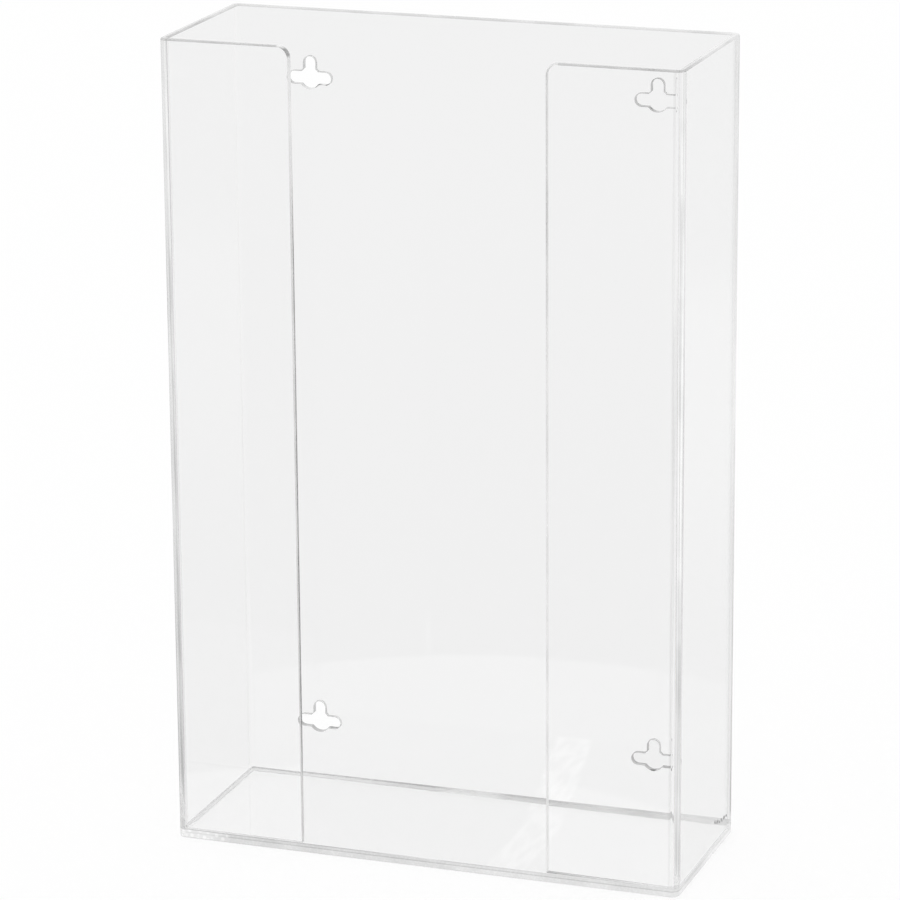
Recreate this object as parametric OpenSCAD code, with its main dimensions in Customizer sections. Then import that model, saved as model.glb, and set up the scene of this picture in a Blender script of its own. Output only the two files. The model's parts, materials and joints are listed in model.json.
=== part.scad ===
// Wall-mounted dispenser for a stack of glove boxes, in clear acrylic.
// One sheet is line-bent into front wing, side, back, side and front wing, and stands cemented on a floor plate.
// The case stands on the XY plane, centred on the Z axis. The front slot faces -Y and the back panel is at +Y.

/* [Case] */
// Outside width of the case
case_width = 254; // [180:1:320]
// Outside depth of the case
case_depth = 94; // [70:1:140]
// Height of the case, floor plate included
case_height = 395; // [260:1:520]

/* [Acrylic sheet] */
// Thickness of the bent wall sheet
wall_thickness = 3; // [2:0.5:5]
// Thickness of the floor plate
floor_thickness = 4.5; // [3:0.5:8]
// Inside radius of the line bends
bend_radius = 1; // [0.5:0.5:8]

/* [Front slot] */
// Width of each front wing, measured from the outside of the case
wing_width = 65; // [30:1:85]
// Radius of the wings' top corners beside the slot
wing_corner_radius = 6; // [2:0.5:12]

/* [Mounting keyholes] */
// Distance from the sides of the case to the keyholes' centres
keyhole_inset_x = 39.5; // [30:0.5:70]
// Distance from the bottom of the case to the lower keyholes' centres
keyhole_inset_bottom = 33; // [28:0.5:80]
// Distance from the top of the case to the upper keyholes' centres
keyhole_inset_top = 34; // [28:0.5:80]
// Diameter of the round centre that passes a screw's head
keyhole_head_diameter = 10.5; // [8:0.5:14]
// Width of the arms that hold a screw's shank
keyhole_arm_width = 6; // [4:0.5:7]
// Reach of the left and right arms from the keyhole's centre
keyhole_side_reach = 11; // [8:0.5:16]
// Reach of the top arm from the keyhole's centre
keyhole_top_reach = 10.5; // [8:0.5:16]

/* [Hidden] */
$fn = 96;

// How far a cut runs past the face that it leaves
overcut = 1;
acrylic = [0.9, 0.94, 0.95, 0.45];

bend_outer_radius = bend_radius + wall_thickness;
wall_height = case_height - floor_thickness;
slot_width = case_width - 2 * wing_width;
front_face = -case_depth / 2;
back_face = case_depth / 2;
keyhole_x = case_width / 2 - keyhole_inset_x;
keyhole_low_z = keyhole_inset_bottom;
keyhole_high_z = case_height - keyhole_inset_top;

// Plan of the case, a rectangle with bent corners, drawn in from the outer faces by inset.
module case_plan(inset = 0) {
    radius = bend_outer_radius - inset;
    half_width = case_width / 2 - inset;
    half_depth = case_depth / 2 - inset;
    square([2 * (half_width - radius), 2 * half_depth], center = true);
    square([2 * half_width, 2 * (half_depth - radius)], center = true);
    for (side = [-1, 1], end = [-1, 1])
        translate([side * (half_width - radius), end * (half_depth - radius)])
            circle(r = radius);
}

// Plan of the bent sheet: its four bends and five flats, open between the wings.
module sheet_plan() {
    difference() {
        case_plan();
        case_plan(inset = wall_thickness);
        translate([-slot_width / 2, front_face - overcut])
            square([slot_width, wall_thickness + 2 * overcut]);
    }
}

// Rod along Y that cuts through the back panel, about the point x = 0, z = 0.
module back_drill(radius) {
    translate([0, back_face + overcut, 0])
        rotate([90, 0, 0])
            cylinder(r = radius, h = wall_thickness + 2 * overcut);
}

// Slot with a round end that runs from the keyhole's centre towards angle, measured from +X about -Y.
module keyhole_arm(angle, reach) {
    end_distance = reach - keyhole_arm_width / 2;
    rotate([0, -angle, 0]) {
        translate([0, back_face - wall_thickness - overcut, -keyhole_arm_width / 2])
            cube([end_distance, wall_thickness + 2 * overcut, keyhole_arm_width]);
        translate([end_distance, 0, 0])
            back_drill(keyhole_arm_width / 2);
    }
}

// Three-way keyhole: the head goes in at the centre, and the shank slides left, right or up.
module keyhole() {
    back_drill(keyhole_head_diameter / 2);
    keyhole_arm(0, keyhole_side_reach);
    keyhole_arm(90, keyhole_top_reach);
    keyhole_arm(180, keyhole_side_reach);
}

// What rounds one wing's top corner: the corner's square outside the round.
module corner_cut() {
    translate([slot_width / 2, 0, case_height - wing_corner_radius])
        difference() {
            translate([-overcut, front_face - overcut, 0])
                cube([
                    wing_corner_radius + overcut,
                    wall_thickness + 2 * overcut,
                    wing_corner_radius + overcut
                ]);
            translate([wing_corner_radius, front_face - 2 * overcut, 0])
                rotate([-90, 0, 0])
                    cylinder(r = wing_corner_radius, h = wall_thickness + 4 * overcut);
            translate([wing_corner_radius, front_face - 2 * overcut, -overcut])
                cube([wing_corner_radius, wall_thickness + 4 * overcut, 2 * wing_corner_radius]);
        }
}

// The bent sheet, standing on the floor plate.
module wall_sheet() {
    color(acrylic)
        difference() {
            translate([0, 0, floor_thickness])
                linear_extrude(height = wall_height)
                    sheet_plan();
            corner_cut();
            mirror([1, 0, 0])
                corner_cut();
            for (side = [-1, 1], height = [keyhole_low_z, keyhole_high_z])
                translate([side * keyhole_x, 0, height])
                    keyhole();
        }
}

// The flat plate that closes the bottom, flush with the outside of the walls.
module floor_plate() {
    color(acrylic)
        linear_extrude(height = floor_thickness)
            case_plan();
}

wall_sheet();
floor_plate();
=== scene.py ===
"""Clear acrylic glove dispenser: line-bent wall sheet and cemented floor plate, in a white studio.

Units are metres. The case stands on Z = 0, its front slot faces -Y and its back panel is at +Y.
"""
import json
import math

import bmesh
import bpy
import numpy as np
from mathutils import Matrix, Vector
from mathutils.geometry import delaunay_2d_cdt


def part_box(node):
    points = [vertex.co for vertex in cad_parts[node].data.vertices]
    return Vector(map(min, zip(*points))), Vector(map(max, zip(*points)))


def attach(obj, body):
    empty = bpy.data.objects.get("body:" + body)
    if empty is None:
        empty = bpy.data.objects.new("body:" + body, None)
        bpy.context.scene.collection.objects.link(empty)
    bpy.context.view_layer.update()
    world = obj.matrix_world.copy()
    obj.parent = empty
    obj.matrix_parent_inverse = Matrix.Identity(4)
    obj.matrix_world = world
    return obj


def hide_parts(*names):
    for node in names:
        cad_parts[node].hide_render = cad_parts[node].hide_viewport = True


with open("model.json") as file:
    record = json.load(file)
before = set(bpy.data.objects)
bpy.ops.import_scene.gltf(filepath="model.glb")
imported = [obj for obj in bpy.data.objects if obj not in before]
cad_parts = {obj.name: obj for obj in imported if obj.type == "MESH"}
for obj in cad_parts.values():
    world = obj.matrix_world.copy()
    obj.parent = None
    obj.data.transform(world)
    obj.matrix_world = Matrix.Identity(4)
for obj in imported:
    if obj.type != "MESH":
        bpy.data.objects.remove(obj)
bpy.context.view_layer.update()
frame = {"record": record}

MM = 0.001

# Sizes of the case, from the frame
SHEET_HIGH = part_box("wall_sheet")[1]
PLATE_LOW, PLATE_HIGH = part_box("floor_plate")
HALF_WIDTH = SHEET_HIGH.x
HALF_DEPTH = SHEET_HIGH.y
CASE_TOP = SHEET_HIGH.z
PLATE_TOP = PLATE_HIGH.z
KEYHOLES = next(m for m in frame["record"]["mounts"] if m["name"] == "wall_keyholes")

# Sizes of the bent sheet, the same as in the frame's solid
WALL = 3.0 * MM
BEND_OUTER = 4.0 * MM
WING_WIDTH = 65.0 * MM
WING_CORNER = 6.0 * MM
KEYHOLE_HEAD = 5.25 * MM
KEYHOLE_TOP_REACH = 10.5 * MM

# How far each edge is rounded by polishing
TOP_EDGE = 1.0 * MM
SLOT_EDGE = 0.8 * MM
JOINT_EDGE = 0.08 * MM
KEYHOLE_EDGE = 0.3 * MM
PLATE_EDGE = 0.35 * MM

# Gap that is kept between pieces that cement joins
CEMENT_LAYER = 0.03 * MM

# The bead of cement inside the case: its spread on the plate, its rise up the wall, and its
# cross-section in shares of both. A strip between two points takes material 0, the cement, or 1,
# its lip.
BEAD_SPREAD_SIDE = 2.3 * MM
BEAD_SPREAD_BACK = 4.0 * MM
BEAD_RISE_LEFT = 0.6 * MM
BEAD_RISE_RIGHT = 2.2 * MM
BEAD_PROFILE = ((0.0, 0.0), (1.0, 0.0), (0.78, 0.12), (0.22, 0.5), (0.0, 1.0))
BEAD_STRIPS = (1, 1, 0, 1, 1)

# Voids in the cement at the right back corner: how many, how far the run starts from the outer
# side and the inner back, how far it goes and climbs, and the half sizes of one and its largest
# lean in degrees
VOID_COUNT = 6
VOID_START = 9.5 * MM
VOID_FORWARD = 3.6 * MM
VOID_RUN = 5.6 * MM
VOID_CLIMB = 4.4 * MM
VOID_HALF_WIDTH = 0.42 * MM
VOID_HALF_HEIGHT = 1.0 * MM
VOID_LEAN = 14.0

# Refraction of acrylic, and the share of lamp and diffuse light that passes a face, an edge and a
# void
ACRYLIC_IOR = 1.49
FACE_PASS = 0.97
EDGE_PASS = 0.85
VOID_PASS = 0.6

# Painted shade in the faces: a strip beside the right back bend, dark creases and streaks of the
# bends, their darker tone at a slant and the share of it in the right back bend, and the deeper
# stretch of the right front crease
PAINTED_BAND_REACH = 9.0 * MM
PAINTED_BAND_SHADE = 0.14
PAINTED_CREASE_SHADE = 0.4
PAINTED_STREAK_SHADE = 0.14
PAINTED_RIM_TONE = 0.74
RIGHT_BACK_RIM_SHARE = 0.4
PAINTED_CREASE_DEEP = 0.36
CREASE_MIDDLE = 205.0 * MM
CREASE_HALF_LENGTH = 120.0 * MM

# How much paler the top edges are at the right, behind the wing
TOP_PALER_RIGHT = 0.14

# Edge of the plate: a darker line at this height, and a run of cement with bubbles at its left end
EDGE_LINE_HEIGHT = 2.8 * MM
EDGE_LINE_HALF_WIDTH = 0.1 * MM
CEMENT_RUN = 26.5 * MM

# Light that the plate pipes to its edge: away from the darker line, at the cement run and towards
# the right
EDGE_GLOW = 0.08
CEMENT_GLOW = 0.05
SIDE_GLOW = 0.08

# Where the cement of the back joint is thinnest, along X
THIN_CEMENT = -7.0 * MM

# Mesh fineness: steps round bends, arcs and edges, and points along the bead and its tapered ends
BEND_STEPS = 16
ARC_STEPS = 12
EDGE_STEPS = 4
BEAD_SIDE_POINTS = 24
BEAD_BACK_POINTS = 60
BEAD_TAPER_POINTS = 4

# Tones of the studio, as linear light: what the camera sees, the same through one sheet and
# through more, and the ceiling, the room and the carpet in front of the case
BACKDROP = 1.0
SEEN_THROUGH = 0.915
LAYERED = 0.952
CEILING = 0.45
ROOM_TONE = 0.6
CARPET_TONE = 0.45

# Even part of the light on the object, whose rest is the overhead light, and the part of the
# floor's tone that the shadow can darken
AMBIENT = 0.75
FLOOR_SHADE = 0.25

# The floor and the round table that the gloss shows on it
FLOOR_HALF_SIZE = 6.0
FLOOR_GAP = 0.1 * MM
TABLE_CENTRE = Vector((-0.0105, 0.0663, 0.0))
TABLE_RADIUS = 0.243
TABLE_SOFTNESS = 0.004
TABLE_TONE = 0.845

# The floor's tone in the gloss: from the carpet to the floor along Y, and from near to far round
# the table, with a fall beyond
CARPET_END, FLOOR_START = -0.12, 0.1
NEAR_FLOOR_TONE, FAR_FLOOR_TONE = 0.84, 0.9
FAR_FLOOR_AT = 0.8
FALLOFF_START, FALLOFF_END = 1.0, 1.25
FLOOR_FALLOFF = 0.06

# The floor's tone through acrylic, from near to far along Y
NEAR_SEEN, FAR_SEEN = 0.911, 0.925
NEAR_SEEN_AT, FAR_SEEN_AT = 0.1, 1.6

# Band of focused light on the floor: its middle along X, where it turns along Y, its slant beyond,
# where it ends, its half width and its tone
BAND_MIDDLE = 40.0 * MM
BAND_TURN = 10.0 * MM
BAND_SLANT = 0.19
BAND_END = 150.0 * MM
BAND_HALF_WIDTH = 10.0 * MM
BAND_GLOW = 0.055

# Light that is caught inside a sheet: it comes out after more than this many reflections, brighter
# towards the front and the top, and drifts slowly
CAUGHT_BOUNCES = 3.5
CAUGHT_TONE = 0.68
CAUGHT_SLOPE = Vector((0.1, -1.7, 0.6))
CAUGHT_DRIFT = 0.12

# The strip softboxes that show as highlights
SOFTBOX_AIM = (0.0, 0.0, 0.2)
SOFTBOX_SIZE = (0.35, 1.5)
SOFTBOX_RADIANCE = 3.0

# The photograph's camera
IMAGE_PX = 900
FOCAL_PX = 4486.5
CAMERA_AZIMUTH = math.radians(19.613)
CAMERA_ELEVATION = math.radians(16.261)
CAMERA_ROLL = math.radians(-0.41)
CAMERA_DISTANCE = 2.1358
CAMERA_AIM = Vector((-0.00147, 0.0, 0.19468))


# ---------------------------------------------------------------- outlines

# A sheet's materials: first its faces, then the flat and the rounded part of each kind of edge.
# The plate has only the first kind.
FACE = 0
TOP, SLOT, KEYHOLE = range(3)

# Points of an outline that are nearer than this, in metres, are one point to the triangulation
SAME_POINT = 1e-9


class Outline:
    """A closed line of points, with the normals at both ends of the edge that follows each point.

    The material lies on the left of the line, so a normal points to the right of travel.
    """

    def __init__(self, rounding, kind=TOP):
        self.points = []
        self.normals = []
        self.roundings = []
        self.kinds = []
        self.use(rounding, kind)

    def use(self, rounding, kind=TOP):
        """Sets the rounding and the kind of the edges that follow."""
        self.rounding = rounding
        self.kind = kind

    def add(self, point, near_normal, far_normal):
        """One point and the normals at the near and far end of the edge that starts there."""
        self.points.append(np.array(point, float))
        self.normals.append((near_normal, far_normal))
        self.roundings.append(self.rounding)
        self.kinds.append(self.kind)

    def line(self, start, end, stops=()):
        """A straight stretch from start up to end, with a point at each stop between them."""
        start, end = np.array(start, float), np.array(end, float)
        along = (end - start) / np.linalg.norm(end - start)
        normal = np.array([along[1], -along[0]])
        for point in [start, *stops]:
            self.add(point, normal, normal)

    def arc(self, centre, radius, start, end, steps=ARC_STEPS):
        """A round stretch between two angles in degrees; a growing angle turns round material."""
        outward = 1.0 if end > start else -1.0
        angles = np.radians(np.linspace(start, end, steps + 1))
        rays = np.stack([np.cos(angles), np.sin(angles)], -1)
        for ray, next_ray in zip(rays[:-1], rays[1:]):
            self.add(np.array(centre) + radius * ray, outward * ray, outward * next_ray)

    def inset(self, share):
        """The points moved into the material by a share of their rounding, mitred at corners."""
        moved = []
        for i, (point, rounding) in enumerate(zip(self.points, self.roundings)):
            before, after = self.normals[i - 1][1], self.normals[i][0]
            moved.append(point - share * rounding * (before + after) / (1.0 + before @ after))
        return np.array(moved)


def is_inside(points, loop):
    """Whether each point lies inside the closed loop, by the even-odd rule."""
    x, y = points[:, :1], points[:, 1:]
    x0, y0 = loop.T
    x1, y1 = np.roll(loop, -1, axis=0).T
    spans = (y0 > y) != (y1 > y)
    rise = np.where(y1 == y0, 1.0, y1 - y0)
    return (spans & (x < x0 + (y - y0) * (x1 - x0) / rise)).sum(1) % 2 == 1


# ---------------------------------------------------------------- sheets with rounded edges

class Slab:
    """A sheet of even thickness in (u, v, depth) space, with rounded edges and holes."""

    def __init__(self, thickness):
        self.thickness = thickness
        self.vertices = []
        self.faces = []
        self.normals = []
        self.parts = []
        self.first_face_loops = []
        self.last_face_loops = []
        self.flat_loops = []

    def add_rim(self, outline):
        """The edge face round one outline, a half round of rows from the first face to the last."""
        quarter = [math.pi / 2 * step / EDGE_STEPS for step in range(EDGE_STEPS + 1)]
        rows = [(angle, -1) for angle in quarter] + [(angle, 1) for angle in reversed(quarter)]
        starts = []
        for angle, side in rows:
            points = outline.inset(1 - math.sin(angle))
            depths = [rounding * (1 - math.cos(angle)) for rounding in outline.roundings]
            if side > 0:
                depths = [self.thickness - depth for depth in depths]
            starts.append(len(self.vertices))
            self.vertices.extend([*point, depth] for point, depth in zip(points, depths))
        count = len(outline.points)
        for row, following, a, b in zip(rows, rows[1:], starts, starts[1:]):
            rounded = row[0] != following[0]
            for i in range(count):
                j = (i + 1) % count
                near, far = outline.normals[i]
                self.faces.append([a + i, a + j, b + j, b + i])
                self.normals += [tilted(near, row), tilted(far, row)]
                self.normals += [tilted(far, following), tilted(near, following)]
                self.parts.append(1 + 2 * outline.kinds[i] + rounded)
        self.first_face_loops.append(range(starts[0], starts[0] + count))
        self.last_face_loops.append(range(starts[-1], starts[-1] + count))
        self.flat_loops.append(outline.inset(1))

    def add_faces(self, folds=()):
        """The two large faces, triangulated inside the rims, with an edge along each fold."""
        points = np.concatenate(self.flat_loops)
        edges, offset = [], 0
        for loop in self.flat_loops:
            count = len(loop)
            edges += [(offset + i, offset + (i + 1) % count) for i in range(count)]
            offset += count
        found, _, triangles, sources, _, _ = delaunay_2d_cdt(
            [Vector(p) for p in points], edges + list(folds), [], 0, SAME_POINT)
        if len(found) != len(points):
            raise ValueError("an outline meets itself")
        origin = [source[0] for source in sources]
        triangles = np.array([[origin[k] for k in triangle] for triangle in triangles])
        centres = points[triangles].mean(1)
        kept = is_inside(centres, self.flat_loops[0])
        for hole in self.flat_loops[1:]:
            kept &= ~is_inside(centres, hole)
        first = [k for loop in self.first_face_loops for k in loop]
        last = [k for loop in self.last_face_loops for k in loop]
        for a, b, c in triangles[kept]:
            (ax, ay), (bx, by) = points[b] - points[a], points[c] - points[a]
            if ax * by < ay * bx:
                b, c = c, b
            self.faces += [[first[c], first[b], first[a]], [last[a], last[b], last[c]]]
            self.normals += [[0, 0, -1]] * 3 + [[0, 0, 1]] * 3
            self.parts += [FACE, FACE]

    def build(self, name, place, materials):
        """The object; place takes (u, v, depth) points and normals to the row frame."""
        vertices = np.array(self.vertices, float)
        corners = np.array([k for face in self.faces for k in face])
        points, _ = place(vertices, np.zeros_like(vertices))
        _, normals = place(vertices[corners], np.array(self.normals, float))
        mesh = bpy.data.meshes.new(name)
        mesh.from_pydata(points.tolist(), [], self.faces)
        for material in materials:
            mesh.materials.append(material)
        mesh.polygons.foreach_set("use_smooth", [True] * len(self.faces))
        mesh.polygons.foreach_set("material_index", self.parts)
        mesh.normals_split_custom_set(normals.tolist())
        return link(bpy.data.objects.new(name, mesh))


def tilted(outward, row):
    """The normal of a rim row: outward in the sheet's plane, leaning to the row's nearer face."""
    angle, side = row
    return [*(outward * math.sin(angle)), side * math.cos(angle)]


def link(made):
    """Puts an object into the scene."""
    bpy.context.scene.collection.objects.link(made)
    return made


# ---------------------------------------------------------------- the bent sheet

class BentPath:
    """Plan of the sheet's outer face, from the left wing's free edge to the right wing's."""

    def __init__(self):
        wing = WING_WIDTH - BEND_OUTER
        side = 2 * (HALF_DEPTH - BEND_OUTER)
        back = 2 * (HALF_WIDTH - BEND_OUTER)
        self.lengths = [wing, side, back, side, wing]
        self.bend_length = BEND_OUTER * math.pi / 2
        self.starts = []
        at = 0.0
        for length in self.lengths:
            self.starts.append(at)
            at += length + self.bend_length
        self.total = at - self.bend_length

    def bends(self):
        """Start of each bend, as a distance along the sheet."""
        return [start + length for start, length in zip(self.starts[:-1], self.lengths[:-1])]

    def stations(self):
        """Distances along the sheet at which its faces turn."""
        shares = np.linspace(0, 1, BEND_STEPS + 1)
        return np.concatenate([start + shares * self.bend_length for start in self.bends()])

    def place(self, points, normals):
        """Takes (u, v, depth) and the normals there to the folded sheet in the row frame."""
        u, v, depth = points.T
        corner = np.array([-(HALF_WIDTH - WING_WIDTH), -HALF_DEPTH])
        heading = math.pi
        flat_at = corner
        x, y, turn = np.zeros_like(u), np.zeros_like(u), np.zeros_like(u)
        for i, (start, length) in enumerate(zip(self.starts, self.lengths)):
            along = np.array([math.cos(heading), math.sin(heading)])
            left = np.array([-along[1], along[0]])
            here = (u >= start) if i else np.full(len(u), True)
            run = u - start
            x[here] = (flat_at[0] + along[0] * run - left[0] * depth)[here]
            y[here] = (flat_at[1] + along[1] * run - left[1] * depth)[here]
            turn[here] = heading
            if i == len(self.lengths) - 1:
                break
            centre = flat_at + along * length - left * BEND_OUTER
            bent = u > start + length
            angle = heading - (run - length) / BEND_OUTER
            radius = BEND_OUTER - depth
            x[bent] = (centre[0] - np.sin(angle) * radius)[bent]
            y[bent] = (centre[1] + np.cos(angle) * radius)[bent]
            turn[bent] = angle[bent]
            heading -= math.pi / 2
            flat_at = centre + along * BEND_OUTER
        tangent = np.stack([np.cos(turn), np.sin(turn)], -1)
        outward = np.stack([-tangent[:, 1], tangent[:, 0]], -1)
        flat_normal = tangent * normals[:, :1] - outward * normals[:, 2:]
        return np.stack([x, y, v], -1), np.column_stack([flat_normal, normals[:, 1]])


def keyhole_outline(centre, half_arm, reach):
    """Edge of a three-way keyhole: a round centre with an arm to the left, to the right and up."""
    outline = Outline(KEYHOLE_EDGE, KEYHOLE)
    end, top_end = reach - half_arm, KEYHOLE_TOP_REACH - half_arm
    meet = math.sqrt(KEYHOLE_HEAD ** 2 - half_arm ** 2)
    shoulder = math.degrees(math.atan2(half_arm, meet))
    u, v = centre

    def at(du, dv):
        return (u + du, v + dv)

    outline.arc(at(0, top_end), half_arm, 180, 0)
    outline.line(at(half_arm, top_end), at(half_arm, meet))
    outline.arc(centre, KEYHOLE_HEAD, 90 - shoulder, shoulder, 3)
    outline.line(at(meet, half_arm), at(end, half_arm))
    outline.arc(at(end, 0), half_arm, 90, -90)
    outline.line(at(end, -half_arm), at(meet, -half_arm))
    outline.arc(centre, KEYHOLE_HEAD, -shoulder, -180 + shoulder)
    outline.line(at(-meet, -half_arm), at(-end, -half_arm))
    outline.arc(at(-end, 0), half_arm, -90, -270)
    outline.line(at(-end, half_arm), at(-meet, half_arm))
    outline.arc(centre, KEYHOLE_HEAD, 180 - shoulder, 90 + shoulder, 3)
    outline.line(at(-half_arm, meet), at(-half_arm, top_end))
    return outline


def wall_outline(total, stations):
    """Outline of the flat sheet, with a point at each station on its lower and its upper edge."""
    bottom, top, r = PLATE_TOP + CEMENT_LAYER, CASE_TOP, WING_CORNER
    outline = Outline(JOINT_EDGE)
    outline.line((0, bottom), (total, bottom), [(u, bottom) for u in stations])
    outline.use(SLOT_EDGE, SLOT)
    outline.line((total, bottom), (total, top - r))
    outline.arc((total - r, top - r), r, 0, 90)
    outline.use(TOP_EDGE)
    outline.line((total - r, top), (r, top), [(u, top) for u in reversed(stations)])
    outline.use(SLOT_EDGE, SLOT)
    outline.arc((r, top - r), r, 90, 180)
    outline.line((0, top - r), (0, bottom))
    return outline


def fold_edges(outline, stations):
    """Pairs of outline points, one below the other, between which the faces turn."""
    count = len(stations)
    uppers = [i for i, p in enumerate(outline.points) if p[1] == CASE_TOP and p[0] == stations[-1]]
    return [(1 + i, uppers[0] + count - 1 - i) for i in range(count)]


def keyhole_outlines(middle):
    """The four keyholes of the back, which is centred on middle along the flat sheet."""
    dims = KEYHOLES["dims"]
    half_arm = dims["hole_r_mm"] * MM
    reach = dims["slot_length_mm"] * MM / 2
    across = dims["spacing_x_mm"] * MM / 2
    upwards = dims["spacing_y_mm"] * MM / 2
    level = KEYHOLES["pos_m"][2]
    outlines = []
    for side in (-across, across):
        for rise in (-upwards, upwards):
            centre = (middle + side, level + rise)
            outlines.append(keyhole_outline(centre, half_arm, reach))
    return outlines


def make_wall_sheet(materials):
    """The wall sheet: drawn flat, then folded four times."""
    path = BentPath()
    stations = path.stations()
    outline = wall_outline(path.total, stations)
    slab = Slab(WALL)
    slab.add_rim(outline)
    for keyhole in keyhole_outlines(path.total / 2):
        slab.add_rim(keyhole)
    slab.add_faces(fold_edges(outline, stations))
    piece = slab.build("bent_wall_sheet", path.place, materials)
    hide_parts("wall_sheet")
    return piece


# ---------------------------------------------------------------- the floor plate

def stay_flat(points, normals):
    """The place of a sheet that isn't bent."""
    return points, normals


def make_floor_plate(materials):
    """The flat plate under the walls, with the round corners of their bends."""
    outline = Outline(PLATE_EDGE)
    x, y, r = HALF_WIDTH, HALF_DEPTH, BEND_OUTER
    outline.line((-x + r, -y), (x - r, -y))
    outline.arc((x - r, -y + r), r, -90, 0)
    outline.line((x, -y + r), (x, y - r))
    outline.arc((x - r, y - r), r, 0, 90)
    outline.line((x - r, y), (-x + r, y))
    outline.arc((-x + r, y - r), r, 90, 180)
    outline.line((-x, y - r), (-x, -y + r))
    outline.arc((-x + r, -y + r), r, 180, 270)
    slab = Slab(PLATE_TOP - PLATE_LOW.z)
    slab.add_rim(outline)
    slab.add_faces()
    piece = slab.build("cemented_floor_plate", stay_flat, materials)
    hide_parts("floor_plate")
    return piece


# ---------------------------------------------------------------- cement

def bead_line():
    """Points along the inner foot of the left side and the back, each with the way to its wall."""
    inner = BEND_OUTER - WALL
    x, y = HALF_WIDTH - BEND_OUTER, HALF_DEPTH - BEND_OUTER
    turn = [(math.cos(a), math.sin(a)) for a in np.radians(np.linspace(180, 90, ARC_STEPS + 1))]
    side_shares = np.linspace(0, 1, BEAD_SIDE_POINTS)[:-1]
    back_shares = np.linspace(0, 1, BEAD_BACK_POINTS)[1:-1]
    line = [(-x - inner, -y + 2 * y * share, -1, 0) for share in side_shares]
    line += [(-x + inner * c, y + inner * s, c, s) for c, s in turn]
    line += [(-x + 2 * x * share, y + inner, 0, 1) for share in back_shares]
    line += [(x - inner * c, y + inner * s, -c, s) for c, s in reversed(turn)]
    return line


def bead_ring(line, k):
    """The bead's cross-section at one point of the line; it ripples, and tapers at both ends."""
    x, y, nx, ny = line[k]
    share = (x + HALF_WIDTH) / (2 * HALF_WIDTH)
    ripple = 1 + 0.05 * math.sin(k * 0.9) + 0.04 * math.sin(k * 2.3)
    end = min(1.0, (k + 1) / BEAD_TAPER_POINTS, (len(line) - k) / BEAD_TAPER_POINTS)
    spread = (BEAD_SPREAD_SIDE + (BEAD_SPREAD_BACK - BEAD_SPREAD_SIDE) * abs(ny)) * end * ripple
    rise = (BEAD_RISE_LEFT + (BEAD_RISE_RIGHT - BEAD_RISE_LEFT) * share) * end
    ring = []
    for away, up in BEAD_PROFILE:
        out = CEMENT_LAYER + spread * away
        ring.append((x - nx * out, y - ny * out, PLATE_TOP + CEMENT_LAYER + rise * up))
    return ring


def make_cement_bead(materials):
    """The bead of cement in the corner between plate and wall, along the left side and the back."""
    line = bead_line()
    count = len(BEAD_PROFILE)
    vertices = [vertex for k in range(len(line)) for vertex in bead_ring(line, k)]
    faces, parts = [], []
    for k in range(len(line) - 1):
        a, b = k * count, (k + 1) * count
        for i in range(count):
            j = (i + 1) % count
            faces.append((a + i, a + j, b + j, b + i))
            parts.append(BEAD_STRIPS[i])
    last = (len(line) - 1) * count
    faces += [tuple(range(count))[::-1], tuple(range(last, last + count))]
    parts += [0, 0]
    mesh = bpy.data.meshes.new("cement_bead")
    mesh.from_pydata(vertices, [], faces)
    for material in materials:
        mesh.materials.append(material)
    mesh.polygons.foreach_set("material_index", parts)
    mesh.validate()
    return link(bpy.data.objects.new("cement_bead", mesh))


def make_cement_voids(material):
    """A short run of elongated voids at the right back, along the foot and up into the bend."""
    start = HALF_WIDTH - VOID_START
    depth = HALF_DEPTH - WALL - VOID_FORWARD
    bm = bmesh.new()
    for k in range(VOID_COUNT):
        share = k / (VOID_COUNT - 1)
        half = VOID_HALF_HEIGHT * (1 + 0.25 * math.sin(2.1 * k))
        height = PLATE_TOP + half + VOID_CLIMB * share ** 2
        centre = Vector((start + VOID_RUN * share, depth, height))
        lean = Matrix.Rotation(math.radians(VOID_LEAN * math.sin(1.7 * k)), 4, "Y")
        shape = Matrix.Diagonal((VOID_HALF_WIDTH, VOID_HALF_WIDTH, half, 1.0))
        place = Matrix.Translation(centre) @ lean @ shape
        bmesh.ops.create_icosphere(bm, subdivisions=2, radius=1.0, matrix=place)
    mesh = bpy.data.meshes.new("cement_voids")
    bm.to_mesh(mesh)
    bm.free()
    mesh.materials.append(material)
    mesh.polygons.foreach_set("use_smooth", [True] * len(mesh.polygons))
    return link(bpy.data.objects.new("cement_voids", mesh))


# ---------------------------------------------------------------- materials

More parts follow.
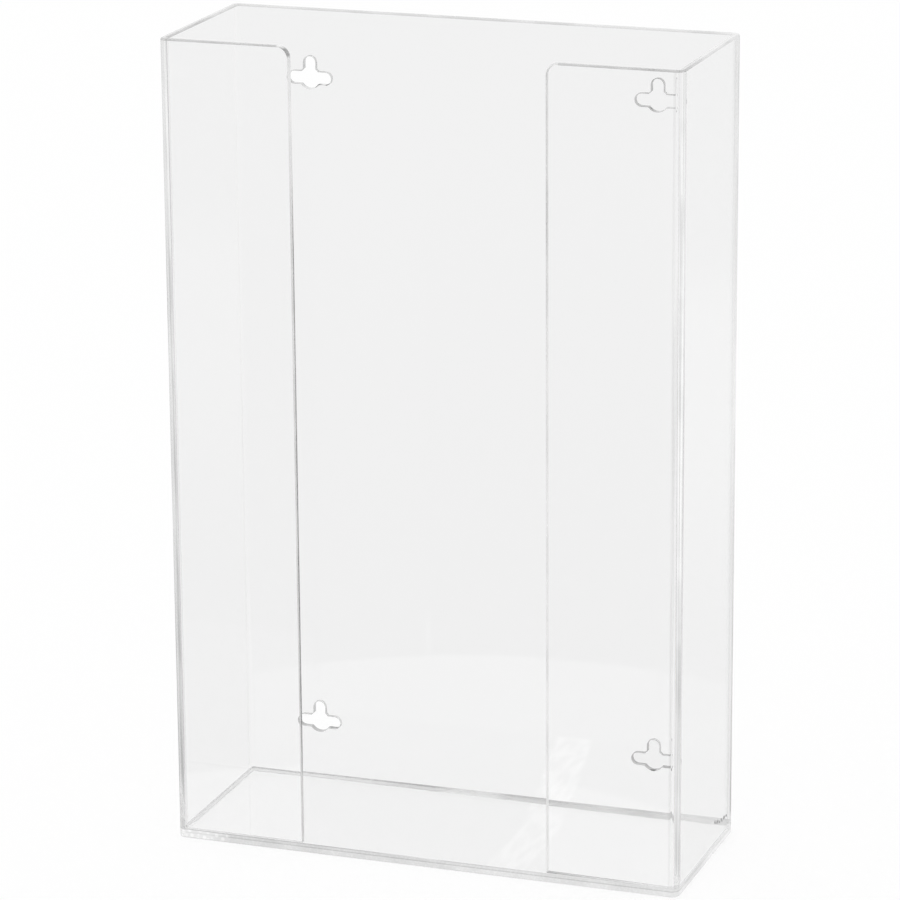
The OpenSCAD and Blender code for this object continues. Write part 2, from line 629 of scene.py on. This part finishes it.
class Graph:
    """Short calls that fill a node tree. A value may be a number, a colour or a node's output."""

    def __init__(self, owner):
        owner.use_nodes = True
        self.tree = owner.node_tree
        self.tree.nodes.clear()

    def add(self, kind, inputs=None, **settings):
        """A new node with these settings and inputs."""
        node = self.tree.nodes.new(kind)
        for name, value in settings.items():
            setattr(node, name, value)
        for name, value in (inputs or {}).items():
            self.feed(node.inputs[name], value)
        return node

    def feed(self, socket, value):
        """Links another node's output to the socket, or sets it to the value."""
        if isinstance(value, bpy.types.NodeSocket):
            self.tree.links.new(value, socket)
        else:
            socket.default_value = value

    def math(self, operation, a, b=0.0):
        """The result of one math node."""
        return self.add("ShaderNodeMath", {0: a, 1: b}, operation=operation).outputs[0]

    def total(self, value, *others):
        """The sum of the values."""
        for other in others:
            value = self.math("ADD", value, other)
        return value

    def product(self, value, *others):
        """The product of the values."""
        for other in others:
            value = self.math("MULTIPLY", value, other)
        return value

    def gap(self, a, b):
        """How far two numbers are apart."""
        return self.math("ABSOLUTE", self.math("SUBTRACT", a, b))

    def axes(self, vector):
        """The vector's "X", "Y" and "Z"."""
        return self.add("ShaderNodeSeparateXYZ", {0: vector}).outputs

    def blend(self, share, a, b):
        """A number between a and b."""
        return self.add("ShaderNodeMix", {0: share, 2: a, 3: b}, data_type="FLOAT").outputs[0]

    def ramp(self, value, low, high, to_low=0.0, to_high=1.0):
        """A smooth step from to_low, where the value is low, up or down to to_high."""
        inputs = {0: value, 1: low, 2: high, 3: to_low, 4: to_high}
        return self.add("ShaderNodeMapRange", inputs, interpolation_type="SMOOTHSTEP").outputs[0]

    def noise(self, vector, scale, detail=3.0, roughness=0.5):
        """Noise with the same scale along every axis."""
        inputs = {"Vector": vector, "Scale": scale, "Detail": detail, "Roughness": roughness}
        return self.add("ShaderNodeTexNoise", inputs).outputs["Fac"]

    def grain(self, vector, scales, detail=1.0, roughness=0.5):
        """Noise with its own scale along each axis, so that a low scale draws it out."""
        scaled = self.add("ShaderNodeVectorMath", {0: vector, 1: scales}, operation="MULTIPLY")
        return self.noise(scaled.outputs[0], 1.0, detail, roughness)

    def grey(self, tone):
        """The colour of a tone."""
        return self.add("ShaderNodeCombineColor", {0: tone, 1: tone, 2: tone}).outputs[0]


def start_material(name):
    """A new material, its graph and the place on the object."""
    material = bpy.data.materials.new(name)
    g = Graph(material)
    return material, g, g.add("ShaderNodeTexCoord").outputs["Object"]


def acrylic_material():
    """Polished faces of cast acrylic: clear, with faint hazy patches and hairlines in the gloss."""
    material, g, place = start_material("acrylic_face")
    haze = g.ramp(g.noise(place, 14.0), 0.55, 0.8)
    hairs = g.ramp(g.grain(place, (900.0, 900.0, 30.0)), 0.68, 0.8)
    face = g.add("ShaderNodeBsdfPrincipled", {
        "Base Color": g.grey(face_tone(g, place)),
        "Roughness": g.total(g.product(haze, 0.02), g.product(hairs, 0.03)),
        "IOR": ACRYLIC_IOR,
        "Transmission Weight": 1.0,
    })
    finish_acrylic(g, place, face.outputs[0], FACE_PASS, mirrored=True)
    return material


def face_tone(g, place):
    """The tone of the clear faces, with painted shade in the bends and in a strip beside the right
    back bend.
    """
    parts = g.axes(place)
    bend = bend_mask(g, parts)
    uneven = g.ramp(g.grain(place, (60.0, 60.0, 22.0), 2.0), 0.3, 0.7, 0.35, 1.0)
    slant = g.ramp(g.add("ShaderNodeLayerWeight", {"Blend": 0.5}).outputs["Facing"], 0.3, 0.75)
    at_right = g.math("GREATER_THAN", parts["X"], 0.0)
    at_back = g.math("GREATER_THAN", parts["Y"], 0.0)
    rim_share = g.blend(g.product(at_right, at_back), 1.0, RIGHT_BACK_RIM_SHARE)
    # Painted shade: the bends darker where they are seen at a slant, less so in the right back bend
    rim = g.product(bend, uneven, slant, rim_share)
    # Painted shade: dark lines along the edges of each bend, and dark streaks in the bends
    crease = g.product(bend, g.math("SUBTRACT", 1.0, bend), PAINTED_CREASE_SHADE)
    streaks = g.ramp(g.grain(place, (700.0, 700.0, 9.0)), 0.45, 0.6, 0.0, PAINTED_STREAK_SHADE)
    # Painted shade in a strip on the side, beside the right back bend
    painted_band = g.product(painted_band_shade(g, parts), uneven)
    shade = g.total(crease, g.product(bend, streaks), painted_crease_stretch(g, parts), painted_band)
    return g.math("SUBTRACT", g.blend(rim, 1.0, PAINTED_RIM_TONE), shade)


def bend_mask(g, parts):
    """1 in three vertical bends and 0 on the flats and in the left back bend, which gets no painted
    shade.
    """
    x_start, y_start = HALF_WIDTH - BEND_OUTER, HALF_DEPTH - BEND_OUTER
    in_x = g.ramp(g.math("ABSOLUTE", parts["X"]), x_start - MM, x_start)
    in_y = g.ramp(g.math("ABSOLUTE", parts["Y"]), y_start - MM, y_start)
    at_left = g.math("LESS_THAN", parts["X"], 0.0)
    at_back = g.math("GREATER_THAN", parts["Y"], 0.0)
    return g.product(in_x, in_y, g.math("SUBTRACT", 1.0, g.product(at_left, at_back)))


def painted_band_shade(g, parts):
    """Painted shade in a band on the side, beside the right back bend."""
    start = HALF_DEPTH - BEND_OUTER - PAINTED_BAND_REACH
    rise = g.ramp(parts["Y"], start, start + 2 * MM, 0.0, PAINTED_BAND_SHADE)
    fall = g.ramp(parts["Y"], start + 4.5 * MM, start + 6.5 * MM, 1.0, 0.3)
    on_side = g.math("GREATER_THAN", parts["X"], HALF_WIDTH - BEND_OUTER)
    return g.product(rise, fall, on_side)


def painted_crease_stretch(g, parts):
    """Painted shade along the crease where the right front bend meets the side, deepest halfway up.
    """
    off_line = g.gap(parts["Y"], BEND_OUTER + MM / 2 - HALF_DEPTH)
    line = g.ramp(off_line, 0.4 * MM, 1.2 * MM, 1.0, 0.0)
    off_middle = g.gap(parts["Z"], CREASE_MIDDLE)
    deep = g.ramp(off_middle, 0.2 * CREASE_HALF_LENGTH, CREASE_HALF_LENGTH, PAINTED_CREASE_DEEP, 0.0)
    on_side = g.math("GREATER_THAN", parts["X"], HALF_WIDTH - BEND_OUTER)
    return g.product(line, deep, on_side)


def end_edge(g, place, tone, clear, glow=0.0):
    """A cut and polished edge: part clear, part satin, with the light that is piped to it."""
    marks = g.grain(place, (300.0, 300.0, 300.0))
    edge = g.add("ShaderNodeBsdfPrincipled", {
        "Base Color": g.grey(tone),
        "Roughness": g.blend(marks, 0.15, 0.3),
        "IOR": ACRYLIC_IOR,
        "Transmission Weight": clear,
        "Emission Color": (1, 1, 1, 1),
        "Emission Strength": glow,
    })
    finish_acrylic(g, place, edge.outputs[0], EDGE_PASS, mirrored=False)


def patches(g, place, low, high, scale=34.0):
    """A tone that drifts between low and high along an edge."""
    return g.ramp(g.noise(place, scale, 2.0), 0.35, 0.65, low, high)


def top_edge_material(name, low, high, clear, paler_back):
    """Flame-polished edges at the top of the sheet, paler towards the back and the right."""
    material, g, place = start_material(name)
    parts = g.axes(place)
    back = g.ramp(parts["Y"], -HALF_DEPTH, HALF_DEPTH, 0.0, paler_back)
    right = g.ramp(parts["X"], HALF_WIDTH - 20 * MM, HALF_WIDTH - 2 * MM)
    behind_wing = g.ramp(parts["Y"], WALL - HALF_DEPTH, -HALF_DEPTH / 2, 0.0, TOP_PALER_RIGHT)
    tone = g.total(back, g.product(right, behind_wing), patches(g, place, low, high))
    end_edge(g, place, tone, clear)
    return material


def slot_edge_material():
    """The wings' free edges: the left with a dark rear corner and top spot, the right pale."""
    material, g, place = start_material("acrylic_slot_edge")
    parts = g.axes(place)
    rear = g.ramp(parts["Y"], 0.3 * WALL - HALF_DEPTH, 0.5 * WALL - HALF_DEPTH)
    lower = g.ramp(parts["Z"], 0.29, 0.35, 1.0, 0.0)
    dark = g.product(rear, lower, g.ramp(parts["Z"], 32 * MM, 50 * MM))
    left = g.blend(dark, g.blend(lower, 0.92, 0.78), 0.22)
    off_corner = g.gap(parts["Z"], CASE_TOP - WING_CORNER / 2)
    left = g.math("SUBTRACT", left, g.ramp(off_corner, 1.2 * MM, 2.8 * MM, 0.6, 0.0))
    right = g.ramp(parts["Z"], 0.2, 0.34, 1.0, 0.8)
    tone = g.blend(g.math("GREATER_THAN", parts["X"], 0.0), left, right)
    end_edge(g, place, g.total(tone, patches(g, place, -0.08, 0.08)), 0.5)
    return material


def keyhole_edge_material():
    """Laser-cut keyhole edges: grey, with dark spots where the cut is rough."""
    material, g, place = start_material("acrylic_keyhole_edge")
    spots = g.ramp(g.noise(place, 190.0, 1.0), 0.62, 0.7)
    at_right = g.math("GREATER_THAN", g.axes(place)["X"], 0.0)
    tone = g.math("SUBTRACT", patches(g, place, 0.62, 0.86, 120.0), g.product(at_right, 0.16))
    end_edge(g, place, g.blend(spots, tone, 0.08), 0.3)
    return material


def cement_material(name, low, high, clear, paler_right=0.2):
    """Set cement: clear grey and paler to the right, with a thin pale stretch in the back joint."""
    material, g, place = start_material(name)
    across = g.axes(place)["X"]
    thin = g.ramp(g.gap(across, THIN_CEMENT), 8 * MM, 22 * MM, 0.2, 0.0)
    paler = g.ramp(across, -HALF_WIDTH / 2, HALF_WIDTH, 0.0, paler_right)
    end_edge(g, place, g.total(thin, paler, patches(g, place, low, high)), clear)
    return material


def plate_edge_material():
    """The plate's cut edge: a darker line along it, and a run of cement at its left front."""
    material, g, place = start_material("acrylic_plate_edge")
    parts = g.axes(place)
    off_edge_line = g.gap(parts["Z"], EDGE_LINE_HEIGHT)
    sides = g.ramp(parts["Z"], EDGE_LINE_HEIGHT - EDGE_LINE_HALF_WIDTH, EDGE_LINE_HEIGHT + EDGE_LINE_HALF_WIDTH, 0.88, 0.8)
    tone = g.product(sides, g.ramp(off_edge_line, EDGE_LINE_HALF_WIDTH, 0.4 * MM, 0.85, 1.0))
    dots = g.ramp(cells(g, place, 900.0), 0.1, 0.6, 0.06, -0.05)
    tone = g.total(tone, patches(g, place, -0.05, 0.05, 60.0), dots)
    run_end = CEMENT_RUN - HALF_WIDTH
    at_left = g.ramp(parts["X"], run_end - MM, run_end + MM, 1.0, 0.0)
    at_right = g.ramp(parts["X"], -HALF_WIDTH / 2, HALF_WIDTH / 2)
    bubbles = g.ramp(cells(g, place, 420.0), 0.25, 0.55, 1.0, 0.8)
    piped = g.ramp(off_edge_line, EDGE_LINE_HALF_WIDTH, 0.4 * MM, 0.0, EDGE_GLOW)
    glow = g.total(g.product(at_left, CEMENT_GLOW), g.product(at_right, SIDE_GLOW), piped)
    end_edge(g, place, g.blend(at_left, tone, bubbles), 0.45, glow)
    return material


def cells(g, place, scale):
    """The distance to the middle of the nearest cell."""
    return g.add("ShaderNodeTexVoronoi", {"Vector": place, "Scale": scale}).outputs["Distance"]


def void_material():
    """Small voids in the cement, which look almost black where light is turned back."""
    material, g, place = start_material("cement_void")
    tone = g.ramp(g.noise(place, 700.0, 1.0), 0.35, 0.65, 0.01, 0.1)
    inputs = {"Base Color": g.grey(tone), "Roughness": 0.4, "IOR": 1.3}
    shader = g.add("ShaderNodeBsdfPrincipled", inputs).outputs[0]
    finish_acrylic(g, place, shader, VOID_PASS, mirrored=False)
    return material


def caught_light(g, place):
    """Light that comes out of a sheet after many reflections: pale grey with a slow drift."""
    slope = g.add("ShaderNodeVectorMath", {0: place, 1: CAUGHT_SLOPE}, operation="DOT_PRODUCT")
    drift = g.grain(place, (3.0, 3.0, 16.0), 3.0, 0.6)
    drift = g.ramp(drift, 0.3, 0.7, -CAUGHT_DRIFT, CAUGHT_DRIFT)
    streaks = g.grain(place, (420.0, 420.0, 7.0))
    streaks = g.ramp(streaks, 0.3, 0.7, -CAUGHT_DRIFT, CAUGHT_DRIFT)
    tone = g.total(drift, streaks, slope.outputs["Value"], CAUGHT_TONE)
    return g.add("ShaderNodeEmission", {"Strength": tone}).outputs[0]


def finish_acrylic(g, place, shader, passes, mirrored):
    """Adds the ray rules of clear acrylic to a shader and makes it the surface.

    Lamp light and diffuse light pass straight through, so that the case casts a faint shadow.
    Light that is caught inside a sheet comes out as a pale grey. A surface that isn't mirrored
    leaves no second image of itself in the gloss of the faces around it.
    """
    path = g.add("ShaderNodeLightPath").outputs
    caught = g.math("GREATER_THAN", path["Glossy Depth"], CAUGHT_BOUNCES)
    bounced = g.math("GREATER_THAN", path["Glossy Depth"], 0.5)
    through = g.math("MAXIMUM", path["Is Shadow Ray"], path["Is Diffuse Ray"])
    if not mirrored:
        through = g.math("MAXIMUM", through, bounced)
    light = caught_light(g, place)
    inside = g.add("ShaderNodeMixShader", {0: caught, 1: shader, 2: light}).outputs[0]
    clear = g.grey(g.blend(bounced, passes, 1.0))
    clear = g.add("ShaderNodeBsdfTransparent", {"Color": clear}).outputs[0]
    surface = g.add("ShaderNodeMixShader", {0: through, 1: inside, 2: clear}).outputs[0]
    g.add("ShaderNodeOutputMaterial", {"Surface": surface})


# ---------------------------------------------------------------- studio

def seen_tone(g, through, reflected, plain):
    """The studio's tone for each ray: white to the camera, else through acrylic, in gloss or plain.

    Through several sheets it is lifted, because the photograph shows one and two almost alike.
    """
    path = g.add("ShaderNodeLightPath").outputs
    bounced = g.math("GREATER_THAN", path["Glossy Depth"], 0.5)
    clear = g.math("MAXIMUM", path["Is Glossy Ray"], path["Is Transmission Ray"])
    layered = g.ramp(path["Transmission Depth"], 2.0, 4.0, 1.0, LAYERED / SEEN_THROUGH)
    by_acrylic = g.blend(bounced, g.product(through, layered), reflected)
    return g.blend(path["Is Camera Ray"], g.blend(clear, plain, by_acrylic), BACKDROP)


def make_world():
    """A pale studio with a darker ceiling, and a darker room in front of the case for its gloss."""
    world = bpy.data.worlds.new("studio")
    bpy.context.scene.world = world
    g = Graph(world)
    parts = g.axes(g.add("ShaderNodeTexCoord").outputs["Generated"])
    overhead = g.ramp(parts["Z"], 0.5, 0.85, SEEN_THROUGH, CEILING)
    reflected = g.ramp(parts["Y"], -0.5, 0.1, ROOM_TONE, overhead)
    tone = seen_tone(g, overhead, reflected, AMBIENT)
    surface = g.add("ShaderNodeBackground", {"Color": (1, 1, 1, 1), "Strength": tone}).outputs[0]
    g.add("ShaderNodeOutputWorld", {"Surface": surface})


def focused_light(g, place):
    """The faint striped band of light on the floor, under the plate and behind the back."""
    parts = g.axes(place)
    behind = g.math("MAXIMUM", g.math("SUBTRACT", parts["Y"], BAND_TURN), 0.0)
    middle = g.math("SUBTRACT", BAND_MIDDLE, g.product(behind, BAND_SLANT))
    off_middle = g.gap(parts["X"], middle)
    band = g.ramp(off_middle, BAND_HALF_WIDTH - 2 * MM, BAND_HALF_WIDTH + MM, 1.0, 0.0)
    ending = g.ramp(parts["Y"], BAND_END - 3 * MM, BAND_END + 3 * MM, 1.0, 0.0)
    stripes = g.ramp(g.grain(place, (260.0, 60.0, 1.0)), 0.35, 0.65, 0.3 * BAND_GLOW, BAND_GLOW)
    return g.product(band, ending, stripes)


def floor_material():
    """White to the camera; in the gloss a pale round table with the darker room in front of it."""
    material = bpy.data.materials.new("studio_floor")
    g = Graph(material)
    place = g.add("ShaderNodeNewGeometry").outputs["Position"]
    away = g.add("ShaderNodeVectorMath", {0: place, 1: TABLE_CENTRE}, operation="DISTANCE")
    away = away.outputs["Value"]
    across = g.axes(place)["Y"]
    far = g.ramp(away, TABLE_RADIUS, FAR_FLOOR_AT, NEAR_FLOOR_TONE, FAR_FLOOR_TONE)
    far = g.math("SUBTRACT", far, g.ramp(away, FALLOFF_START, FALLOFF_END, 0.0, FLOOR_FALLOFF))
    beyond = g.ramp(across, CARPET_END, FLOOR_START, CARPET_TONE, far)
    edge = TABLE_RADIUS - TABLE_SOFTNESS, TABLE_RADIUS + TABLE_SOFTNESS
    reflected = g.ramp(away, *edge, TABLE_TONE, beyond)
    through = g.ramp(across, NEAR_SEEN_AT, FAR_SEEN_AT, NEAR_SEEN, FAR_SEEN)
    tone = seen_tone(g, g.total(through, focused_light(g, place)), reflected, AMBIENT)
    strength = g.math("SUBTRACT", tone, FLOOR_SHADE)
    glow = g.add("ShaderNodeEmission", {"Strength": strength}).outputs[0]
    shade = (FLOOR_SHADE, FLOOR_SHADE, FLOOR_SHADE, 1)
    matt = g.add("ShaderNodeBsdfDiffuse", {"Color": shade}).outputs[0]
    surface = g.add("ShaderNodeAddShader", {0: glow, 1: matt}).outputs[0]
    g.add("ShaderNodeOutputMaterial", {"Surface": surface})
    return material


def make_floor():
    """The studio floor, a hair below the case."""
    size = FLOOR_HALF_SIZE
    corners = [(-size, -size), (size, -size), (size, size), (-size, size)]
    mesh = bpy.data.meshes.new("studio_floor")
    mesh.from_pydata([(x, y, -FLOOR_GAP) for x, y in corners], [], [(0, 1, 2, 3)])
    mesh.materials.append(floor_material())
    floor = link(bpy.data.objects.new("studio_floor", mesh))


def make_sun():
    """A very soft overhead light of the same strength everywhere."""
    data = bpy.data.lights.new("overhead_light", "SUN")
    data.angle = math.radians(50)
    data.energy = math.pi * (1.0 - AMBIENT)
    lamp = link(bpy.data.objects.new("overhead_light", data))
    lamp.rotation_euler = (math.radians(12), math.radians(-15), 0)
    lamp.visible_glossy = False
    lamp.visible_transmission = False


def make_softbox(name, place):
    """A strip softbox that only shows as a highlight."""
    width, height = SOFTBOX_SIZE
    data = bpy.data.lights.new(name, "AREA")
    data.shape = "RECTANGLE"
    data.size, data.size_y = width, height
    data.energy = SOFTBOX_RADIANCE * math.pi * width * height
    lamp = link(bpy.data.objects.new(name, data))
    lamp.location = place
    lamp.rotation_euler = (Vector(SOFTBOX_AIM) - Vector(place)).to_track_quat("-Z", "Y").to_euler()
    lamp.visible_diffuse = False
    lamp.visible_transmission = False


def make_camera():
    """The camera that was fitted to the photograph's edges."""
    data = bpy.data.cameras.new("photo_camera")
    data.sensor_width = 36.0
    data.lens = data.sensor_width * FOCAL_PX / IMAGE_PX
    camera = link(bpy.data.objects.new("photo_camera", data))
    az, el = CAMERA_AZIMUTH, CAMERA_ELEVATION
    forward = Vector((-math.sin(az) * math.cos(el), math.cos(az) * math.cos(el), -math.sin(el)))
    right = Vector((math.cos(az), math.sin(az), 0.0))
    up = right.cross(forward)
    c, s = math.cos(CAMERA_ROLL), math.sin(CAMERA_ROLL)
    axes = Matrix((c * right + s * up, c * up - s * right, -forward)).transposed()
    camera.matrix_world = Matrix.Translation(CAMERA_AIM - CAMERA_DISTANCE * forward) @ axes.to_4x4()
    data.clip_end = 100.0
    bpy.context.scene.camera = camera


make_camera()
make_world()
make_floor()
make_sun()
make_softbox("left_softbox", (-1.6, -0.7, 0.9))
make_softbox("right_softbox", (1.6, 0.1, 0.9))

acrylic = acrylic_material()
top_edge = top_edge_material("acrylic_edge", low=0.72, high=0.88, clear=0.5, paler_back=0.1)
top_arris = top_edge_material("acrylic_arris", low=0.5, high=0.64, clear=0.4, paler_back=0.22)
slot_edge = slot_edge_material()
keyhole_edge = keyhole_edge_material()
plate_arris = cement_material(
    "acrylic_plate_arris", low=0.6, high=0.72, clear=0.5, paler_right=0.34)
cement = cement_material("cement", low=0.66, high=0.78, clear=0.6)
cement_lip = cement_material("cement_lip", low=0.53, high=0.62, clear=0.45)
edges = [top_edge, top_arris, slot_edge, slot_edge, keyhole_edge, keyhole_edge]
sheet = make_wall_sheet([acrylic, *edges])
plate = make_floor_plate([acrylic, plate_edge_material(), plate_arris])
bead = make_cement_bead([cement, cement_lip])
voids = make_cement_voids(void_material())
for piece in (sheet, plate, bead, voids):
    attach(piece, "root")

scene = bpy.context.scene
scene.view_settings.view_transform = "Standard"
scene.cycles.max_bounces = 24
scene.cycles.transmission_bounces = 24
scene.cycles.glossy_bounces = 16
scene.cycles.transparent_max_bounces = 24
